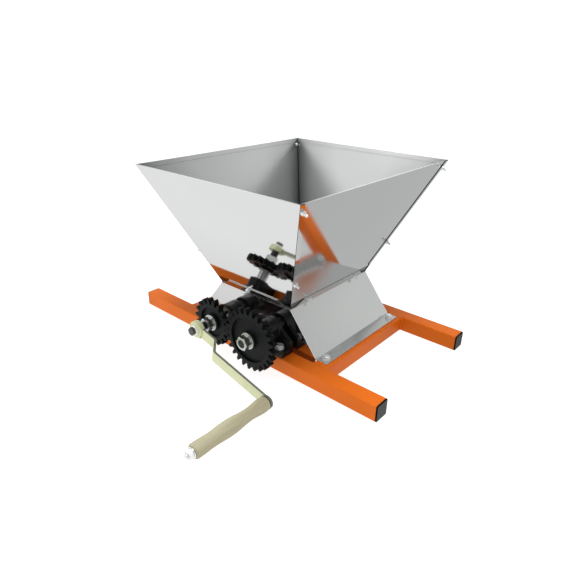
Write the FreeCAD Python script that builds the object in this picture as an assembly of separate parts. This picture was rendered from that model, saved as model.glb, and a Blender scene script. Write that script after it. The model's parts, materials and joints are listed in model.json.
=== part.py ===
import FreeCAD, Part
import math
import os
from FreeCAD import Rotation, Vector

# Hand-cranked roller grape crusher, in millimetres.
# X runs along the two long frame tubes, Y from the crank side to the back, and Z up from the floor.
# The origin lies on the floor under the middle of the welded frame.

# Frame of welded square tube
TUBE = 28.0
TUBE_WALL = 2.0
TUBE_CORNER = 2.5
FRAME_LENGTH = 550.0
LONG_TUBE_Y = 129.5
CROSS_TUBE_X = 151.5
PLUG_CAP = 2.5
PLUG_DEPTH = 14.0
PLUG_WALL = 1.6

# Sheet metal
HOUSING_SHEET = 1.5
HOPPER_SHEET = 1.0
SHEET_GAP = 0.05
BEND_RADIUS = 1.0

# Hopper: outer faces at the fold under it and at the rim
FOLD_Z = 99.0
FOLD_X = 80.0
FOLD_Y = 108.5
RIM_Z = 310.0
RIM_X = 173.0
RIM_Y = 202.0
HEM_DEPTH = 7.0
CORNER_FLANGE = 9.0
FLANGE_START_Z = 116.0
PANEL_BOTTOM_Z = 100.6

# Housing under the hopper
SKIRT_HALF = 108.4
SKIRT_FOOT_X = 137.0
SKIRT_FOOT_END = 159.0
LIP_TOP_Z = 111.5
LIP_TRIM = 11.0
LIP_TRIM_SLOPE = 1.4
END_PLATE_BOTTOM_Z = 10.0
END_PLATE_FOOT_X = 136.0
END_PLATE_TAB = 12.0
SHAFT_OPENING_R = 11.5

# Shafts, rollers and gears
SHAFT_Z = 60.4
DRIVE_X = -36.0
MODULE = 4.0
DRIVE_TEETH = 19
DRIVEN_TEETH = 25
PRESSURE_ANGLE = math.radians(20.0)
BACKLASH = 0.5
MESH_OFFSET = 3.1
GEAR_FRONT_Y = -177.0
GEAR_WIDTH = 11.0
GEAR_HUB_R = 15.0
GEAR_RECESS = 4.0
GEAR_RIM = 6.5
SHAFT_R = 10.0
SEAT_R = 8.0
THREAD_R = 7.0
THREAD_PITCH = 2.0
SHAFT_SHOULDER_Y = -163.0
SHAFT_REAR_Y = 154.0
ROLLER_R = 42.25
ROLLER_HALF = 104.0
ROLLER_FLUTES = 10
FLUTE_R = 9.0
FLUTE_DEPTH = 4.5
RUNNING_CLEARANCE = 0.05

# Bearing blocks
BLOCK_BACK_Y = 116.0
BLOCK_FRONT_Y = 141.0
WEB = 7.0
WEB_TOP_Z = 57.0
FOOT = 9.0
FOOT_FRONT_Y = 143.0
BLOCK_HALF = 86.0
BLOCK_BOLT_X = 71.0
BLOCK_BOLT_Y = 132.0
HOUSING_HALF = 16.5
HOUSING_TOP_Z = 79.5
SHAFT_FLANGE_R = 20.0
SHAFT_FLANGE = 9.0
BUSH_R = 13.0
BUSH_FLANGE_R = 15.5
BUSH_FLANGE = 2.0
COLLAR_R = 14.0
COLLAR_WIDTH = 9.0

# Crank
CRANK_RADIUS = 183.0
HUB_R = 14.5
HUB_BACK_Y = -202.5
HUB_FRONT_Y = -212.5
ARM_INNER_Y = -207.5
ARM_OUTER_Y = -228.0
ARM_STEP = (43.0, 64.0)
ARM_WIDTH = 18.0
ARM_THICK = 4.0
ARM_BEND = 6.0
ARM_END_R = 10.4
GRIP_BACK_Y = -232.0
GRIP_LENGTH = 133.0
GRIP_MAX_R = 11.8
GRIP_FLOOR_GAP = 4.5
SPINDLE_R = 4.0
SPINDLE_HEAD_R = 7.2
GRIP_WASHER = 1.5

# Fasteners: thread radius, width across flats, head height, nut height, washer radius and thickness
M4 = (2.0, 7.0, 2.6, 3.2, 4.5, 0.8)
M6 = (3.0, 10.0, 4.0, 5.0, 6.5, 1.6)
M8 = (4.0, 13.0, 5.3, 6.5, 8.0, 1.6)
M14 = (7.0, 21.0, 8.8, 12.8, 14.0, 2.5)

# Values worked out from the ones above
DRIVE_PITCH_R = MODULE * DRIVE_TEETH / 2
DRIVEN_PITCH_R = MODULE * DRIVEN_TEETH / 2
DRIVEN_X = DRIVE_X + DRIVE_PITCH_R + DRIVEN_PITCH_R
BLOCK_MIDDLE_X = (DRIVE_X + DRIVEN_X) / 2
RISE_X = (RIM_X - FOLD_X) / (RIM_Z - FOLD_Z)
RISE_Y = (RIM_Y - FOLD_Y) / (RIM_Z - FOLD_Z)
SKIRT_RUN = (SKIRT_FOOT_X - FOLD_X) / (FOLD_Z - TUBE)
GRIP_Z = GRIP_MAX_R + GRIP_FLOOR_GAP
CRANK_ANGLE = -math.degrees(math.asin((SHAFT_Z - GRIP_Z) / CRANK_RADIUS))
GRIP_END_Y = GRIP_BACK_Y - GRIP_LENGTH - 0.5 - M8[5]

X_AXIS = Vector(1, 0, 0)
Y_AXIS = Vector(0, 1, 0)
Z_AXIS = Vector(0, 0, 1)
TO_CRANK = Vector(0, -1, 0)


# ---------------------------------------------------------------- helpers

def placed(shape, origin, direction):
    """Move a shape that was drawn along +Z to an origin and a direction."""
    copy = shape.copy()
    copy.Placement = FreeCAD.Placement(origin, Rotation(Z_AXIS, direction)).multiply(copy.Placement)
    return copy


def group(shapes):
    """Keep separate solids together in one node."""
    return Part.makeCompound(shapes)


def fused(shapes):
    """Join overlapping solids into one clean solid."""
    return shapes[0].multiFuse(shapes[1:]).removeSplitter()


def mirrored_x(shape):
    return shape.mirror(Vector(0, 0, 0), X_AXIS)


def mirrored_y(shape):
    return shape.mirror(Vector(0, 0, 0), Y_AXIS)


def rounded_outline(points, radii):
    """A closed flat wire through the points, with each corner rounded to its radius."""
    edges = []
    starts = []
    ends = []
    arcs = []
    count = len(points)
    for i in range(count):
        here = points[i]
        back = (points[i - 1] - here).normalize()
        ahead = (points[(i + 1) % count] - here).normalize()
        if radii[i] == 0:
            starts.append(here)
            ends.append(here)
            arcs.append(None)
            continue
        half = back.getAngle(ahead) / 2
        cut = radii[i] / math.tan(half)
        starts.append(here + back * cut)
        ends.append(here + ahead * cut)
        middle = here + (back + ahead).normalize() * (radii[i] / math.sin(half) - radii[i])
        arcs.append(Part.Arc(starts[i], middle, ends[i]).toShape())
    for i in range(count):
        if arcs[i]:
            edges.append(arcs[i])
        following = starts[(i + 1) % count]
        if ends[i].distanceToPoint(following) > 1e-6:
            edges.append(Part.makeLine(ends[i], following))
    return Part.Wire(edges)


def prism(points, radii, sweep):
    """A flat rounded outline pushed along a vector."""
    return Part.Face(rounded_outline(points, radii)).extrude(sweep)


def sheet_outline(path, thickness, bend):
    """Corner points and radii of bent sheet: the path, and a copy of it moved to its left."""
    left = []
    for i in range(len(path)):
        normals = []
        for a, b in ((i - 1, i), (i, i + 1)):
            if a >= 0 and b < len(path):
                run_x = path[b][0] - path[a][0]
                run_y = path[b][1] - path[a][1]
                length = math.hypot(run_x, run_y)
                normals.append((-run_y / length, run_x / length))
        sum_x = sum(n[0] for n in normals)
        sum_y = sum(n[1] for n in normals)
        scale = thickness * len(normals) / (sum_x ** 2 + sum_y ** 2)
        left.append((path[i][0] + sum_x * scale, path[i][1] + sum_y * scale))
    near = [0.0] * len(path)
    far = [0.0] * len(path)
    for i in range(1, len(path) - 1):
        turn = ((path[i][0] - path[i - 1][0]) * (path[i + 1][1] - path[i][1])
                - (path[i][1] - path[i - 1][1]) * (path[i + 1][0] - path[i][0]))
        near[i] = bend + thickness if turn > 0 else bend
        far[i] = bend if turn > 0 else bend + thickness
    return path + left[::-1], near + far[::-1]


def lathe(profile):
    """Turn an (r, z) profile about Z into a solid."""
    points = [Vector(r, 0, z) for r, z in profile]
    return Part.Face(Part.makePolygon(points + points[:1])).revolve(Vector(0, 0, 0), Z_AXIS, 360)


def quad_block(x_low, x_high, y_low, y_high, z_low, z_high):
    """A solid whose side faces lean: each side is a straight function of z."""
    rings = []
    for z in (z_low, z_high):
        rings.append([
            Vector(x_low(z), y_low(z), z), Vector(x_high(z), y_low(z), z),
            Vector(x_high(z), y_high(z), z), Vector(x_low(z), y_high(z), z),
        ])
    low, high = rings
    faces = [Part.Face(Part.makePolygon(low[::-1] + low[-1:]))]
    faces.append(Part.Face(Part.makePolygon(high + high[:1])))
    for i in range(4):
        j = (i + 1) % 4
        faces.append(Part.Face(Part.makePolygon([low[i], low[j], high[j], high[i], low[i]])))
    return Part.makeSolid(Part.makeShell(faces))


def level(value):
    """A side that doesn't lean."""
    return lambda z: value


# ---------------------------------------------------------------- fasteners

def hexagon(across, height):
    """A hexagonal prism with both ends chamfered."""
    corner = across / math.sqrt(3)
    points = [Vector(corner * math.cos(math.radians(60 * i)), corner * math.sin(math.radians(60 * i)), 0)
              for i in range(6)]
    body = prism(points, [0] * 6, Vector(0, 0, height))
    flat = 0.475 * across
    drop = (corner - flat) * math.tan(math.radians(30))
    limit = lathe([(0, 0), (flat, 0), (corner, drop), (corner, height - drop), (flat, height), (0, height)])
    return body.common(limit)


def nut(size):
    bore = Part.makeCylinder(size[0] + RUNNING_CLEARANCE, size[3])
    return hexagon(size[1], size[3]).cut(bore)


def washer(outer, bore, thickness):
    return Part.makeCylinder(outer, thickness).cut(Part.makeCylinder(bore, thickness))


def threaded_rod(radius, pitch, length):
    """A rod with ring-shaped thread crests, ending in a chamfer."""
    depth = 0.5 * pitch
    crests = int((length - depth) / pitch)
    profile = [(0, 0), (radius, 0)]
    for i in range(crests):
        base = i * pitch
        profile.append((radius, base + 0.15 * pitch))
        profile.append((radius - depth, base + 0.5 * pitch))
        profile.append((radius, base + 0.85 * pitch))
    profile += [(radius, length - depth), (radius - depth, length), (0, length)]
    return lathe(profile)


def hex_bolt(size, shank, thread, pitch):
    """A hexagon-headed bolt along +Z, with the head's underside at the origin."""
    head = hexagon(size[1], size[2]).translated(Vector(0, 0, -size[2]))
    plain = Part.makeCylinder(size[0], shank - thread)
    rod = threaded_rod(size[0], pitch, thread).translated(Vector(0, 0, shank - thread))
    return fused([head, plain, rod])


def pan_bolt(size, shank, thread, pitch):
    """A low domed screw along +Z, with the head's underside at the origin."""
    radius = 1.7 * size[0]
    head = lathe([(0, 0), (radius, 0), (radius, -0.3 * size[2]), (0.85 * radius, -0.75 * size[2]),
                  (0.5 * radius, -size[2]), (0, -size[2])])
    slot = Part.makeBox(2 * radius, 0.9, 1.2, Vector(-radius, -0.45, -size[2] - 0.1))
    plain = Part.makeCylinder(size[0], shank - thread)
    rod = threaded_rod(size[0], pitch, thread).translated(Vector(0, 0, shank - thread))
    return fused([head.cut(slot), plain, rod])


def socket_screw(radius, length):
    """A headless screw along +Z with a hexagon socket in its far end."""
    socket = hexagon(radius, 0.5 * length).translated(Vector(0, 0, 0.55 * length))
    return Part.makeCylinder(radius, length).cut(socket)


# ---------------------------------------------------------------- frame

def square_tube(length):
    """Rounded square tube along X, centred on its axis."""
    solids = []
    for side, corner in ((TUBE, TUBE_CORNER), (TUBE - 2 * TUBE_WALL, TUBE_CORNER - TUBE_WALL)):
        half = side / 2
        corners = [(-half, -half), (half, -half), (half, half), (-half, half)]
        points = [Vector(-length / 2, y, z) for y, z in corners]
        solids.append(prism(points, [corner] * 4, Vector(length, 0, 0)))
    return solids[0].cut(solids[1])


def insert_radius(size):
    return size[0] + 1.5


def long_tube(side):
    """One long tube, with holes in its top wall for the block's threaded inserts."""
    tube = square_tube(FRAME_LENGTH - 2 * PLUG_CAP).translated(Vector(0, side * LONG_TUBE_Y, TUBE / 2))
    for x in (BLOCK_MIDDLE_X - BLOCK_BOLT_X, BLOCK_MIDDLE_X + BLOCK_BOLT_X):
        place = Vector(x, side * BLOCK_BOLT_Y, TUBE - 2 * TUBE_WALL)
        tube = tube.cut(Part.makeCylinder(insert_radius(M8) + RUNNING_CLEARANCE, 3 * TUBE_WALL, place))
    return tube


def cross_tube(side):
    """One cross tube between the long ones, with holes for the skirt's threaded inserts."""
    length = 2 * LONG_TUBE_Y - TUBE
    tube = square_tube(length)
    tube.rotate(Vector(0, 0, 0), Z_AXIS, 90)
    tube.translate(Vector(side * CROSS_TUBE_X, 0, TUBE / 2))
    for x, y in skirt_bolt_places(side):
        place = Vector(x, y, TUBE - 2 * TUBE_WALL)
        tube = tube.cut(Part.makeCylinder(insert_radius(M6) + RUNNING_CLEARANCE, 3 * TUBE_WALL, place))
    return tube


def end_plug():
    """A plug with its cap's inner face at x = 0 and the hollow shank towards -X."""
    half = TUBE / 2 - 0.1
    points = [Vector(0, y, z) for y, z in ((-half, -half), (half, -half), (half, half), (-half, half))]
    cap = prism(points, [TUBE_CORNER] * 4, Vector(PLUG_CAP, 0, 0))
    rim = [edge for edge in cap.Edges if edge.BoundBox.XMin > PLUG_CAP - 0.01]
    cap = cap.makeChamfer(0.8, rim)
    shank = TUBE / 2 - TUBE_WALL - 0.2
    outer = Part.makeBox(PLUG_DEPTH, 2 * shank, 2 * shank, Vector(-PLUG_DEPTH, -shank, -shank))
    inner = shank - PLUG_WALL
    hollow = Part.makeBox(PLUG_DEPTH, 2 * inner, 2 * inner, Vector(-PLUG_DEPTH, -inner, -inner))
    return fused([cap, outer.cut(hollow)])


def tube_end_plugs():
    plugs = []
    for side in (-1, 1):
        plug = end_plug().translated(Vector(FRAME_LENGTH / 2 - PLUG_CAP, side * LONG_TUBE_Y, TUBE / 2))
        plugs += [plug, mirrored_x(plug)]
    return group(plugs)


def threaded_insert(size, depth):
    """A sleeve under the tube's top wall that a bolt screws into, hanging down from z = 0."""
    sleeve = washer(insert_radius(size), size[0] + RUNNING_CLEARANCE, depth)
    return sleeve.translated(Vector(0, 0, -depth))


def frame_inserts():
    inserts = [threaded_insert(M6, 14.0).translated(Vector(x, y, TUBE))
               for side in (-1, 1) for x, y in skirt_bolt_places(side)]
    inserts += [threaded_insert(M8, 16.0).translated(Vector(x, y, TUBE)) for x, y in block_bolt_places()]
    return group(inserts)


# ---------------------------------------------------------------- hopper

def hopper_x(z):
    """Outer face of a side panel."""
    return FOLD_X + (z - FOLD_Z) * RISE_X


def hopper_y(z):
    """Outer face of a front or rear panel."""
    return FOLD_Y + (z - FOLD_Z) * RISE_Y


def across_x(thickness):
    """Width along X of a thickness measured square to a side panel."""
    return thickness * math.hypot(1, RISE_X)


def across_y(thickness):
    """Width along Y of a thickness measured square to a front or rear panel."""
    return thickness * math.hypot(1, RISE_Y)


SIDE_NORMAL = Vector(1, 0, -RISE_X).normalize()
FRONT_NORMAL = Vector(0, -1, -RISE_Y).normalize()
CORNER_BOLT_HEIGHTS = (161.0, 298.0)
CORNER_BOLT_INSET = 5.0
HEM = 2.2 * HOPPER_SHEET


def corner_bolt_points():
    """Points on the outer face of the right panel, one for each of its corner bolts."""
    points = []
    for z in CORNER_BOLT_HEIGHTS:
        for side in (-1, 1):
            points.append(Vector(hopper_x(z), side * (hopper_y(z) - CORNER_BOLT_INSET), z))
    return points


def base_bolt_points(bolt_side=-1):
    """Points on the outer faces of the right and front panels, for the bolts through the lips."""
    z = (PANEL_BOTTOM_Z + LIP_TOP_Z) / 2
    side = [Vector(hopper_x(z), y, z) for y in (-65.0, 65.0)]
    front = [Vector(bolt_side * 12.0, -hopper_y(z), z)]
    return side, front


def drilled(shape, points, normal):
    """Cut M4 clearance holes along a normal."""
    for point in points:
        hole = Part.makeCylinder(M4[0] + 0.1, 12.0).translated(Vector(0, 0, -6.0))
        shape = shape.cut(placed(hole, point, normal))
    return shape


def hopper_panel_right():
    """A side panel between the front and rear ones, with its rim folded inwards."""
    sheet = across_x(HOPPER_SHEET)
    inset = across_y(HOPPER_SHEET) + SHEET_GAP
    hem_inset = across_y(HEM) + SHEET_GAP
    main = quad_block(
        lambda z: hopper_x(z) - sheet, hopper_x,
        lambda z: inset - hopper_y(z), lambda z: hopper_y(z) - inset, PANEL_BOTTOM_Z, RIM_Z)
    hem = quad_block(
        lambda z: hopper_x(z) - across_x(HEM), lambda z: hopper_x(z) - sheet / 2,
        lambda z: hem_inset - hopper_y(z), lambda z: hopper_y(z) - hem_inset, RIM_Z - HEM_DEPTH, RIM_Z)
    panel = fused([main, hem])
    return drilled(panel, corner_bolt_points() + base_bolt_points()[0], SIDE_NORMAL)


def hopper_panel_front():
    """A front panel whose side edges fold back over the side panels."""
    sheet = across_y(HOPPER_SHEET)
    lap = across_x(HOPPER_SHEET) + SHEET_GAP
    main = quad_block(
        lambda z: -hopper_x(z) - lap, lambda z: hopper_x(z) + lap,
        lambda z: -hopper_y(z), lambda z: sheet - hopper_y(z), PANEL_BOTTOM_Z, RIM_Z)
    hem_inset = across_x(HOPPER_SHEET) + SHEET_GAP
    hem = quad_block(
        lambda z: hem_inset - hopper_x(z), lambda z: hopper_x(z) - hem_inset,
        lambda z: sheet / 2 - hopper_y(z), lambda z: across_y(HEM) - hopper_y(z), RIM_Z - HEM_DEPTH, RIM_Z)
    flange = quad_block(
        lambda z: hopper_x(z) + SHEET_GAP, lambda z: hopper_x(z) + lap,
        lambda z: -hopper_y(z), lambda z: CORNER_FLANGE - hopper_y(z), FLANGE_START_Z, RIM_Z - 1.0)
    panel = fused([main, hem, flange, mirrored_x(flange)])
    panel = drilled(panel, corner_bolt_points(), SIDE_NORMAL)
    panel = mirrored_x(drilled(mirrored_x(panel), corner_bolt_points(), SIDE_NORMAL))
    return drilled(panel, base_bolt_points()[1], FRONT_NORMAL)


def panel_bolt(grip):
    """An M4 screw whose head lies inside the hopper, and its nut outside, along +Z from the outer face."""
    shank = HOPPER_SHEET + grip + 9.0
    bolt = pan_bolt(M4, shank, shank - 3.0, 0.7).translated(Vector(0, 0, -HOPPER_SHEET - SHEET_GAP))
    outer_nut = nut(M4).translated(Vector(0, 0, grip + 2 * SHEET_GAP))
    return bolt, outer_nut


def four_ways(shape):
    return [shape, mirrored_x(shape), mirrored_y(shape), mirrored_x(mirrored_y(shape))]


def corner_fasteners():
    """Bolts and nuts through the corner flanges: two on each sloping corner."""
    bolts = []
    nuts = []
    bolt, outer_nut = panel_bolt(HOPPER_SHEET)
    for point in corner_bolt_points()[::2]:
        bolts += four_ways(placed(bolt, point, SIDE_NORMAL))
        nuts += four_ways(placed(outer_nut, point, SIDE_NORMAL))
    return group(bolts), group(nuts)


def base_fasteners():
    """Bolts and nuts that hold the hopper to the lips of the housing."""
    bolts = []
    nuts = []
    bolt, outer_nut = panel_bolt(HOUSING_SHEET)
    side, front = base_bolt_points()
    for point in side:
        for piece, pieces in ((bolt, bolts), (outer_nut, nuts)):
            right = placed(piece, point, SIDE_NORMAL)
            pieces += [right, mirrored_x(right)]
    for piece, pieces in ((bolt, bolts), (outer_nut, nuts)):
        low = placed(piece, front[0], FRONT_NORMAL)
        pieces += [low, mirrored_x(mirrored_y(low))]
    return group(bolts), group(nuts)


# ---------------------------------------------------------------- housing

def skirt_x(z, depth):
    """A plane parallel to the skirt, a depth outside its inner face."""
    return FOLD_X + SHEET_GAP + (FOLD_Z - z) * SKIRT_RUN + depth * math.hypot(1, SKIRT_RUN)


def lip_trim(half, sloping):
    """The wedge cut from one end of a lip, so that it clears the hopper's corner flange."""
    wide = RIM_X
    inner = lambda z: half - LIP_TRIM - (z - FOLD_Z) * LIP_TRIM_SLOPE
    low = FOLD_Z + 1.5
    if sloping == "y":
        return quad_block(level(0), level(wide), inner, level(wide), low, LIP_TOP_Z + 2)
    return quad_block(inner, level(wide), level(-wide), level(0), low, LIP_TOP_Z + 2)


def skirt_bolt_places(side):
    return [(side * 148.5, y) for y in (-96.0, 96.0)]


def skirt_right():
    """The slanted side sheet: a lip against the hopper, the slope and a foot flange on the cross tube."""
    path = [
        (hopper_x(LIP_TOP_Z) + SHEET_GAP, LIP_TOP_Z), (FOLD_X + SHEET_GAP, FOLD_Z),
        (SKIRT_FOOT_X, TUBE + SHEET_GAP), (SKIRT_FOOT_END, TUBE + SHEET_GAP),
    ]
    corners, radii = sheet_outline(path, HOUSING_SHEET, BEND_RADIUS)
    sheet = prism([Vector(x, -SKIRT_HALF, z) for x, z in corners], radii, Vector(0, 2 * SKIRT_HALF, 0))
    trim = lip_trim(SKIRT_HALF, "y")
    sheet = sheet.cut(group([trim, mirrored_y(trim)]))
    for x, y in skirt_bolt_places(1):
        sheet = sheet.cut(Part.makeCylinder(M6[0] + 0.3, 6.0, Vector(x, y, TUBE - 2)))
    return drilled(sheet, base_bolt_points()[0], SIDE_NORMAL)


def end_plate_front(bolt_side):
    """The upright end sheet: a lip against the hopper, shaft holes and tabs under both skirts."""
    face = FOLD_Y + SHEET_GAP
    path = [(-face, END_PLATE_BOTTOM_Z), (-face, FOLD_Z), (-hopper_y(LIP_TOP_Z) - SHEET_GAP, LIP_TOP_Z)]
    corners, radii = sheet_outline(path, HOUSING_SHEET, BEND_RADIUS)
    sheet = prism([Vector(-RIM_X, y, z) for y, z in corners], radii, Vector(2 * RIM_X, 0, 0))
    step = TUBE + 0.5
    half = [(END_PLATE_FOOT_X, 0), (END_PLATE_FOOT_X, step), (skirt_x(step, HOUSING_SHEET), step),
            (skirt_x(FOLD_Z, HOUSING_SHEET), FOLD_Z), (skirt_x(FOLD_Z, HOUSING_SHEET), RIM_Z)]
    outline = [Vector(x, -RIM_Y, z) for x, z in half] + [Vector(-x, -RIM_Y, z) for x, z in half[::-1]]
    sheet = sheet.common(prism(outline, [0] * len(outline), Vector(0, RIM_Y, 0)))
    trim = lip_trim(FOLD_X + LIP_TRIM / 2, "x")
    sheet = sheet.cut(group([trim, mirrored_x(trim)]))
    for x in (DRIVE_X, DRIVEN_X):
        sheet = sheet.cut(Part.makeCylinder(SHAFT_OPENING_R, 20, Vector(x, -face + 5, SHAFT_Z), TO_CRANK))
    low, high = TUBE + 3.5, FOLD_Z - 5
    tab = [Vector(skirt_x(z, depth), -face - HOUSING_SHEET / 2, z)
           for z, depth in ((low, -SHEET_GAP), (high, -SHEET_GAP), (high, -HOUSING_SHEET), (low, -HOUSING_SHEET))]
    tab = prism(tab, [0] * 4, Vector(0, END_PLATE_TAB, 0))
    plate = fused([sheet, tab, mirrored_x(tab)])
    return drilled(plate, base_bolt_points(bolt_side)[1], FRONT_NORMAL)


def skirt_fasteners():
    """Bolts and washers of the skirts' foot flanges."""
    top = TUBE + SHEET_GAP + HOUSING_SHEET
    ring = washer(M6[4], M6[0] + 0.2, M6[5])
    bolt = placed(hex_bolt(M6, 15.0, 9.0, 1.0), Vector(0, 0, 0), Vector(0, 0, -1))
    places = [place for side in (-1, 1) for place in skirt_bolt_places(side)]
    washers = [ring.translated(Vector(x, y, top)) for x, y in places]
    bolts = [bolt.translated(Vector(x, y, top + M6[5])) for x, y in places]
    return group(bolts), group(washers)


# ---------------------------------------------------------------- bearing blocks

def block_bolt_places():
    return [(BLOCK_MIDDLE_X + turn * BLOCK_BOLT_X, side * BLOCK_BOLT_Y) for side in (-1, 1) for turn in (-1, 1)]


def bearing_block_front():
    """One casting: a foot beyond each shaft, a low web between them, and an arched housing around each."""
    left, right = BLOCK_MIDDLE_X - BLOCK_HALF, BLOCK_MIDDLE_X + BLOCK_HALF
    shoulder = HOUSING_TOP_Z - 10
    outline = [(left, TUBE), (right, TUBE), (right, TUBE + 2.3 * FOOT), (DRIVEN_X + 14, shoulder),
               (DRIVEN_X, shoulder), (DRIVEN_X - 14, WEB_TOP_Z), (DRIVE_X + 14, WEB_TOP_Z),
               (DRIVE_X, shoulder), (DRIVE_X - 14, shoulder), (left, TUBE + 2.3 * FOOT)]
    web = prism([Vector(x, -BLOCK_BACK_Y, z) for x, z in outline], [0, 0, 4, 0, 0, 0, 0, 0, 0, 4],
                Vector(0, -WEB, 0))
    pieces = [web]
    for shaft_x, end in ((DRIVE_X, left), (DRIVEN_X, right)):
        foot = [Vector(x, y, TUBE) for x, y in ((shaft_x, -BLOCK_BACK_Y), (shaft_x, -FOOT_FRONT_Y),
                                                (end, -FOOT_FRONT_Y), (end, -BLOCK_BACK_Y))]
        pieces.append(prism(foot, [0, 0, 1.5, 0], Vector(0, 0, FOOT)))
        arch = [Vector(shaft_x + side * HOUSING_HALF, -BLOCK_BACK_Y, z)
                for side, z in ((-1, TUBE), (1, TUBE), (1, HOUSING_TOP_Z), (-1, HOUSING_TOP_Z))]
        pieces.append(prism(arch, [0, 0, 13, 13], Vector(0, BLOCK_BACK_Y - BLOCK_FRONT_Y, 0)))
        flange = Part.makeCylinder(SHAFT_FLANGE_R, SHAFT_FLANGE)
        flange = flange.makeChamfer(0.8, [edge for edge in flange.Edges if edge.BoundBox.ZMin > SHAFT_FLANGE - 0.1])
        pieces.append(placed(flange, Vector(shaft_x, -BLOCK_BACK_Y, SHAFT_Z), TO_CRANK))
    block = fused(pieces)
    for x in (DRIVE_X, DRIVEN_X):
        bore = Part.makeCylinder(BUSH_R + 0.02, 60, Vector(x, -BLOCK_BACK_Y + 10, SHAFT_Z), TO_CRANK)
        block = block.cut(bore)
    for x, y in block_bolt_places()[:2]:
        block = block.cut(Part.makeCylinder(M8[0] + 0.3, 3 * FOOT, Vector(x, y, TUBE - FOOT)))
    return block


def front_bushes():
    """Flanged bushes pressed into the front block from the gear side."""
    bushes = []
    for x in (DRIVE_X, DRIVEN_X):
        length = BLOCK_FRONT_Y - BLOCK_BACK_Y
        sleeve = lathe([(SHAFT_R + RUNNING_CLEARANCE, 0), (BUSH_R, 0), (BUSH_R, length), (BUSH_FLANGE_R, length),
                        (BUSH_FLANGE_R, length + BUSH_FLANGE), (SHAFT_R + RUNNING_CLEARANCE, length + BUSH_FLANGE)])
        bushes.append(placed(sleeve, Vector(x, -BLOCK_BACK_Y, SHAFT_Z), TO_CRANK))
    return group(bushes)


def block_fasteners():
    top = TUBE + FOOT
    ring = washer(M8[4], M8[0] + 0.2, M8[5])
    bolt = placed(hex_bolt(M8, 24.0, 14.0, 1.25), Vector(0, 0, 0), Vector(0, 0, -1))
    washers = [ring.translated(Vector(x, y, top)) for x, y in block_bolt_places()]
    bolts = [bolt.translated(Vector(x, y, top + M8[5])) for x, y in block_bolt_places()]
    return group(bolts), group(washers)


# ---------------------------------------------------------------- gears

def involute(angle):
    return math.tan(angle) - angle


def gear_outline(teeth, first_tooth):
    """A closed involute spur gear outline in the XZ plane, with one tooth centred on an angle in degrees."""
    pitch_r = MODULE * teeth / 2
    base_r = pitch_r * math.cos(PRESSURE_ANGLE)
    tip_r = pitch_r + MODULE
    root_r = pitch_r - 1.25 * MODULE
    half_at_pitch = (math.pi * MODULE / 2 - BACKLASH / 2) / (2 * pitch_r)

    def half_angle(r):
        return half_at_pitch + involute(PRESSURE_ANGLE) - involute(math.acos(base_r / r))

    def point(r, angle):
        return Vector(r * math.cos(angle), 0, r * math.sin(angle))

    steps = 5
    radii = [base_r + (tip_r - base_r) * i / steps for i in range(steps + 1)]
    root_half = half_angle(base_r) + 0.006
    edges = []
    for k in range(teeth):
        middle = math.radians(first_tooth) + 2 * math.pi * k / teeth
        following = middle + 2 * math.pi / teeth
        rising = [point(r, middle - half_angle(r)) for r in radii]
        falling = [point(r, middle + half_angle(r)) for r in radii[::-1]]
        edges.append(Part.makeLine(point(root_r, middle - root_half), rising[0]))
        for flank in (rising, falling):
            curve = Part.BSplineCurve()
            curve.interpolate(flank)
            edges.append(curve.toShape())
        edges.insert(-1, Part.Arc(rising[-1], point(tip_r, middle), falling[0]).toShape())
        edges.append(Part.makeLine(falling[-1], point(root_r, middle + root_half)))
        gap = [point(root_r, angle) for angle in (middle + root_half, (middle + following) / 2,
                                                  following - root_half)]
        edges.append(Part.Arc(*gap).toShape())
    return Part.Wire(edges)


def gear(x, teeth, first_tooth):
    """A moulded gear: toothed rim, thin web, and a hub that stands out a little at the back, with a keyway."""
    front = GEAR_FRONT_Y
    body = Part.Face(gear_outline(teeth, first_tooth)).extrude(Vector(0, GEAR_WIDTH, 0))
    body.translate(Vector(x, front, SHAFT_Z))
    recess_r = MODULE * teeth / 2 - 1.25 * MODULE - GEAR_RIM
    recess = washer(recess_r, GEAR_HUB_R, GEAR_RECESS)
    body = body.cut(placed(recess, Vector(x, front + GEAR_RECESS, SHAFT_Z), TO_CRANK))
    body = body.cut(placed(recess, Vector(x, front + GEAR_WIDTH + 0.5, SHAFT_Z), TO_CRANK))
    rear_hub = Part.makeCylinder(GEAR_HUB_R - 1, SHAFT_SHOULDER_Y - front - 2,
                                 Vector(x, SHAFT_SHOULDER_Y, SHAFT_Z), TO_CRANK)
    body = fused([body, rear_hub])
    length = SHAFT_SHOULDER_Y - front + 2
    bore = Part.makeCylinder(SEAT_R + 0.03, length, Vector(x, SHAFT_SHOULDER_Y + 1, SHAFT_Z), TO_CRANK)
    keyway = Part.makeBox(KEY + 0.04, length, KEY_TOP + 0.1, Vector(x - KEY / 2 - 0.02, front - 1, SHAFT_Z))
    return body.cut(fused([bore, keyway]))


KEY = 5.0
KEY_TOP = SEAT_R + KEY / 2
KEY_FRONT_Y = GEAR_FRONT_Y + 2.5
KEY_LENGTH = 10.0


def gear_key(x):
    return Part.makeBox(KEY, KEY_LENGTH, KEY, Vector(x - KEY / 2, KEY_FRONT_Y, SHAFT_Z + KEY_TOP - KEY))


def shaft_washer(x):
    return placed(washer(M14[4], M14[0] + 0.3, M14[5]), Vector(x, GEAR_FRONT_Y, SHAFT_Z), TO_CRANK)


def shaft_nut(x):
    return placed(nut(M14), Vector(x, GEAR_FRONT_Y - M14[5], SHAFT_Z), TO_CRANK)


# ---------------------------------------------------------------- shafts and rollers

PIN_R = 3.0
PIN_REACH = 29.0
PIN_Y = 92.0
COLLAR_FRONT_Y = BLOCK_FRONT_Y + BUSH_FLANGE + 1.0


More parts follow.
